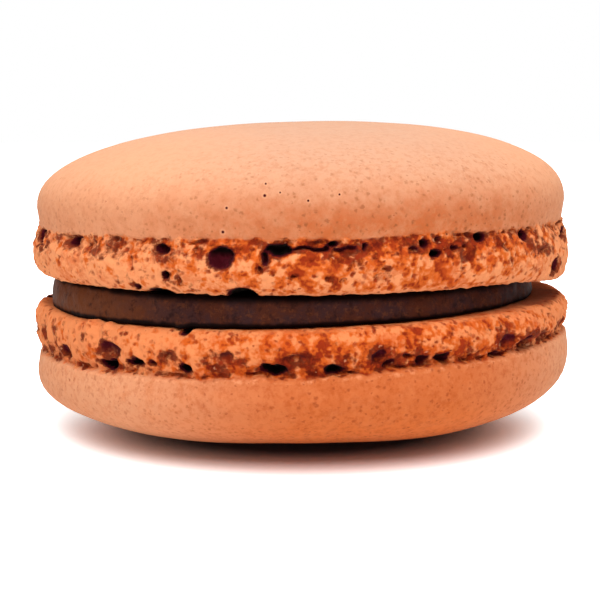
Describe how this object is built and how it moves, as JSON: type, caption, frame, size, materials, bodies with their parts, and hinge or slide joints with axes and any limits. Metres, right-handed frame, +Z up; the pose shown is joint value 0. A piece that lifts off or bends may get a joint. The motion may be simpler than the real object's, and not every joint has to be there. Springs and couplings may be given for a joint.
{
  "type": "french macaron",
  "caption": "Sandwich macaron: two domed meringue shells with ruffled feet round a disc of dark ganache.",
  "frame": {"origin": "middle of the part's base, on the flat spot of the lower dome", "axes": "+Z up through the two shells, front towards -Y, +X to the right"},
  "size_m": [0.0456, 0.0456, 0.0257],
  "materials": {
    "meringue": "matte baked almond meringue, smooth on the domes and crumbly with dark pits on the feet",
    "ganache": "satin dark chocolate ganache"
  },
  "bodies": {
    "root": {"top_shell": "meringue", "filling": "ganache", "bottom_shell": "meringue"}
  },
  "joints": []
}
